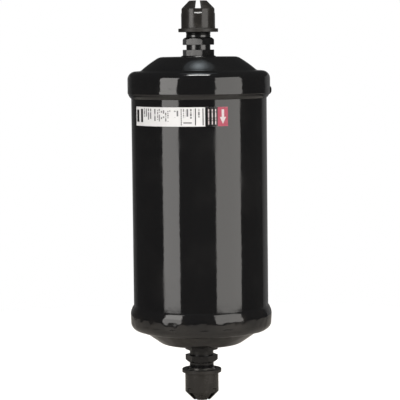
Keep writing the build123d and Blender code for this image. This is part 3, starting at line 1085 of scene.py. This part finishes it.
def red_print():
    """The red field at the label's right end."""
    start, high = WHITE_LENGTH + BLACK_LENGTH, LABEL_HEIGHT - INK_MARGIN
    return print_strip("label_red_ink", start, RED_LENGTH - INK_MARGIN, INK_MARGIN, high)


def flow_arrow():
    """An arrow in light ink that points to the outlet, cut from a strip over the red field."""
    middle = WHITE_LENGTH + BLACK_LENGTH + RED_LENGTH / 2
    half = ARROW_HEAD + 0.4
    strip = print_strip("flow_arrow", middle - half, 2 * half, 1.0, LABEL_HEIGHT - 1.0, 1)
    tip, neck = LABEL_BOTTOM + ARROW_MARGIN, LABEL_BOTTOM + 5.0
    tail = LABEL_BOTTOM + LABEL_HEIGHT - ARROW_MARGIN
    right = [(ARROW_HEAD, neck), (ARROW_SHAFT, neck), (ARROW_SHAFT, tail)]
    left = [(-x, height) for x, height in reversed(right)]
    arrow = draw_section("arrow_cutter", [(0, tip), *right, *left])
    pick_all()
    bpy.ops.transform.translate(value=(0, -30 * MM, 0))
    bpy.ops.mesh.extrude_region_move(TRANSFORM_OT_translate={"value": (0, -20 * MM, 0)})
    face_outwards()
    nothing_selected()
    turn_round(arrow, LABEL_START_BEARING + 180 / pi * middle / SHELL_RADIUS)
    cut(strip, arrow, "INTERSECT")
    return strip


def white_print():
    """Light lines on the black field and the flow arrow on the red one."""
    parts = [flow_arrow()]
    for share in (0.23, 0.52, 0.79):
        start = WHITE_LENGTH + share * BLACK_LENGTH
        for low, high in ((1.0, 3.1), (3.5, 4.3), (4.7, 7.6), (8.0, 9.4)):
            parts.append(print_strip("light_line", start, 0.6, low, high, 1))
    return joined("label_white_ink", *parts)


# Stage, lights and camera

def stage_material(name, seen, felt):
    """The plain pale ground: lit as paper, and kept pale for the camera."""
    material, tree = new_material(name)
    skin(material, (*felt, 1), 0.9, level=0.0)
    shader = tree.nodes["Principled BSDF"]
    glow = add(tree, "Emission", Color=(1, 1, 1, 1), Strength=seen)
    both = add(tree, "AddShader")
    tree.links.new(shader.outputs[0], both.inputs[0])
    tree.links.new(glow.outputs[0], both.inputs[1])
    path = tree.nodes.new("ShaderNodeLightPath")
    choice = add(tree, "MixShader")
    tree.links.new(path.outputs["Is Camera Ray"], choice.inputs[0])
    tree.links.new(shader.outputs[0], choice.inputs[1])
    tree.links.new(both.outputs[0], choice.inputs[2])
    tree.links.new(choice.outputs[0], tree.nodes["Material Output"].inputs[0])
    return material


def floor():
    """A round pale table, low enough for the outlet cap when it is screwed off."""
    nothing_selected()
    bpy.ops.mesh.primitive_circle_add(
        vertices=128, radius=FLOOR_RADIUS, fill_type="NGON", location=FLOOR_CENTRE,
    )
    piece = named("studio_floor")
    bpy.ops.object.transform_apply(location=True, rotation=False, scale=False)
    piece.data.materials.append(stage_material("pale paper", 0.84, (0.66, 0.62, 0.57)))


def light(name, place, aim, size, strength, colour=(1, 1, 1)):
    """A rectangular soft light, with its brightness as its radiance."""
    data = bpy.data.lights.new(name, "AREA")
    data.shape = "RECTANGLE"
    data.size, data.size_y = size
    data.energy = strength * pi * size[0] * size[1]
    data.color = colour
    lamp = bpy.data.objects.new(name, data)
    bpy.context.scene.collection.objects.link(lamp)
    lamp.location = place
    lamp.rotation_euler = (Vector(aim) - Vector(place)).to_track_quat("-Z", "Y").to_euler()
    lamp.visible_camera = False
    return lamp


def seen_from_shell(bearing, distance):
    """Where the camera's ray that meets the shell at a bearing ends up, at a distance from the
    axis."""
    eye = Vector((0, -CAMERA_DISTANCE))
    outward = Vector((sin(radians(bearing)), -cos(radians(bearing))))
    spot = outward * SHELL_RADIUS * MM
    ray = (spot - eye).normalized()
    ray = ray - 2 * ray.dot(outward) * outward
    along = -spot.dot(ray) + (spot.dot(ray) ** 2 - spot.dot(spot) + distance ** 2) ** 0.5
    return spot + ray * along


def side_panel(name, strip, distance, span, strength, colour):
    """A tall soft light that the shell shows as a strip between two of its bearings."""
    a, b = (seen_from_shell(bearing, distance) for bearing in strip)
    low, high = span
    middle = Vector(((a.x + b.x) / 2, (a.y + b.y) / 2, (low + high) / 2))
    across = b - a
    face = Vector((across.y, -across.x, 0))
    if face.dot(middle) > 0:
        face.negate()
    return light(name, middle, middle + face, (across.length, high - low), strength, colour)


# First and last bearing and brightness of the cloths beside the backdrop
SIDE_CLOTHS = [(-161, -149, 0.06), (-161, -137, 0.05), (131, 161, 0.14), (137, 161, 0.04)]


def side_backdrops():
    """Dim cloths beside the backdrop, which the shell shows as soft grey edges."""
    level = Vector((0, 0, 0.01))
    for *bearings, strength in SIDE_CLOTHS:
        a, b = (
            Vector((sin(radians(bearing)), -cos(radians(bearing)), 0)) * BACKDROP_DISTANCE
            for bearing in bearings
        )
        light("side backdrop", (a + b) / 2 + level, level, ((b - a).length, 0.36), strength)


# Width, depth, distance behind the axis and brightness of the discs of the overhead glow
GLOW_LAYERS = [
    (0.1, 0.1, 0.2, 0.9),
    (0.18, 0.17, 0.205, 0.85),
    (0.28, 0.24, 0.21, 0.55),
    (0.44, 0.32, 0.22, 0.3),
]


def lights():
    """The softboxes that the paint mirrors, the overhead glow on the cone and the white world."""
    near, warm = SOFTBOX_DISTANCE, (1, 0.97, 0.93)
    side_panel("left softbox", LEFT_STRIP, near, SOFTBOX_SPAN, 3.6, (1, 0.975, 0.95))
    side_panel("left softbox top", LEFT_STRIP, near + 0.005, (0.05, SOFTBOX_SPAN[1]), 1.3, warm)
    side_panel("right softbox", RIGHT_STRIP, near, SOFTBOX_SPAN, 3.15, warm)
    light("overhead softbox", (0, -0.25, 1.05), (0, 0, 0), (0.4, 0.2), 24.0, (1, 1, 0.98))
    for layer, (width, depth, behind, strength) in enumerate(GLOW_LAYERS):
        spot = (0, behind, 0.97 + 0.006 * layer)
        glow = light("overhead glow", spot, (0, 0, 0), (width, depth), strength, (0.84, 0.94, 1))
        glow.data.shape = "ELLIPSE"
    light("backdrop", (0, 0.75, 0.04), (0, 0, 0.04), (0.52, 0.3), 0.12)
    side_backdrops()
    world = bpy.data.worlds.new("studio")
    bpy.context.scene.world = world
    world.use_nodes = True
    tree = world.node_tree
    ground = tree.nodes["Background"]
    ground.inputs[0].default_value = (1, 1, 1, 1)
    path = tree.nodes.new("ShaderNodeLightPath")
    strength = fade(tree, path.outputs["Is Camera Ray"], 0.0, 1.0, 0.04, 1.0)
    tree.links.new(strength, ground.inputs[1])


def camera():
    """The photograph's camera: far, a little above, rolled by half a degree."""
    data = bpy.data.cameras.new("camera")
    data.sensor_width = 36
    data.lens = CAMERA_LENS
    data.clip_start, data.clip_end = 0.05, 20
    eye = bpy.data.objects.new("camera", data)
    bpy.context.scene.collection.objects.link(eye)
    bpy.context.scene.camera = eye
    rise = radians(CAMERA_RISE)
    aim = Vector((0, 0, AIM_HEIGHT))
    eye.location = aim + Vector((0, -cos(rise), sin(rise))) * CAMERA_DISTANCE
    look = (aim - eye.location).to_track_quat("-Z", "Y")
    eye.rotation_euler = look.to_euler()
    eye.rotation_euler.rotate_axis("Z", radians(CAMERA_ROLL))


def end_pieces(end, cover_paint, bead_paint, fitting_paint, steel, plastic):
    """Cover, welds, fitting and cap of one end."""
    outlet = end == "outlet"
    cover = end_cover(f"{end}_end_cover")
    if outlet:
        lumpy(cover, "big dents", 6.0, 0.36, SKIRT_END + 1.5, COVER_TOP - 1.5)
    else:
        lumpy(cover, "small dents", 4.0, 0.09, SKIRT_END + 1.2, SHOULDER_TOP - 4)
    seam = seam_bead(f"{end}_seam_bead")
    base = base_bead(f"{end}_base_bead")
    body = fitting_body(f"{end}_fitting_body", -OUTLET_HEX_BEARING if outlet else INLET_HEX_BEARING)
    flare = flare_end(f"{end}_flare_end")
    cap = screw_cap(f"{end}_screw_cap")
    if outlet:
        turn_round(cap, -OUTLET_CAP_BEARING)
        settle(cap, rise=OUTLET_CAP_LOOSE)
        for piece in (cover, seam, base, body, flare, cap):
            to_outlet(piece)
    for piece in (cover, base, body, flare, cap):
        smooth(piece)
    smooth(seam, 25)
    for piece, slot, finish, node in (
        (cover, "black_paint", cover_paint, "cover"),
        (seam, "black_paint", bead_paint, "seam_weld"),
        (base, "black_paint", bead_paint, "fitting_weld"),
        (body, "fitting_steel", fitting_paint, "fitting"),
        (flare, "fitting_steel", steel, "fitting"),
    ):
        place(piece, "vessel", slot, finish, f"{end}_{node}")
    place(cap, f"{end}_cap_body", "cap_plastic", plastic, f"{end}_cap")


def label():
    """The label's film and its print in three inks."""
    white = label_stock("white label stock", (0.82, 0.82, 0.83, 1), PRINT_RUNS, level=0.1)
    film = panel(
        "label_stock_film", 0, LABEL_LENGTH, 0, LABEL_HEIGHT, LABEL_RADIUS, LABEL_THICKNESS,
    )
    smooth(film)
    place(film, "vessel", "label_white", white, "label_film", "label_grey_print")
    for piece, slot, node, colour in (
        (black_print(), "print_black", "label_black_print", (0.012, 0.012, 0.012, 1)),
        (red_print(), "print_red", "label_red_print", (0.4, 0.03, 0.075, 1)),
        (white_print(), "print_white", "label_white_print", (0.66, 0.58, 0.6, 1)),
    ):
        smooth(piece)
        place(piece, "vessel", slot, label_stock(f"{node} ink", colour), node)


def build():
    """Makes all pieces and gives them their places and finishes."""
    shell_paint = baked_black("black shell paint")
    cover_paint = baked_black("black cover paint", wave=0.00003, lump=0.00015)
    # the outlet cover's dust is browner and lighter than elsewhere, in the brown-grey that the
    # lower cover shows of the floor: real dust with a painted reflection tint
    outlet_dust_and_reflection_paint = baked_black(
        "black outlet cover paint", wave=0.00005, lump=0.0002, dust=(0.05, 0.042, 0.035, 1),
    )
    bead_paint = baked_black("black weld paint", wave=0.00005, lump=0.0002, low=0.12, high=0.22)
    # lit and shaded copies of one fitting paint: the inlet's higher reflection level paints a
    # brighter highlight, the outlet's lower one paints shade
    inlet_lit_fitting_paint, outlet_shaded_fitting_paint = (
        baked_black(f"{kind} black fitting paint", lump=0.00004, low=0.19, high=0.32, level=level)
        for kind, level in (("thin", 0.75), ("shaded", 0.36))
    )
    steel = bare_steel()
    plastic = cap_plastic()

    shell = shell_tube()
    smooth(shell)
    place(shell, "vessel", "black_paint", shell_paint, "shell_tube")
    end_pieces("inlet", cover_paint, bead_paint, inlet_lit_fitting_paint, steel, plastic)
    end_pieces("outlet", outlet_dust_and_reflection_paint, bead_paint, outlet_shaded_fitting_paint, steel, plastic)
    lump = weld_lump()
    smooth(lump)
    place(lump, "vessel", "black_paint", bead_paint, "inlet_seam_weld")
    label()


build()
dress_inner_parts()
floor()
lights()
camera()
bpy.context.scene.view_settings.view_transform = "Standard"
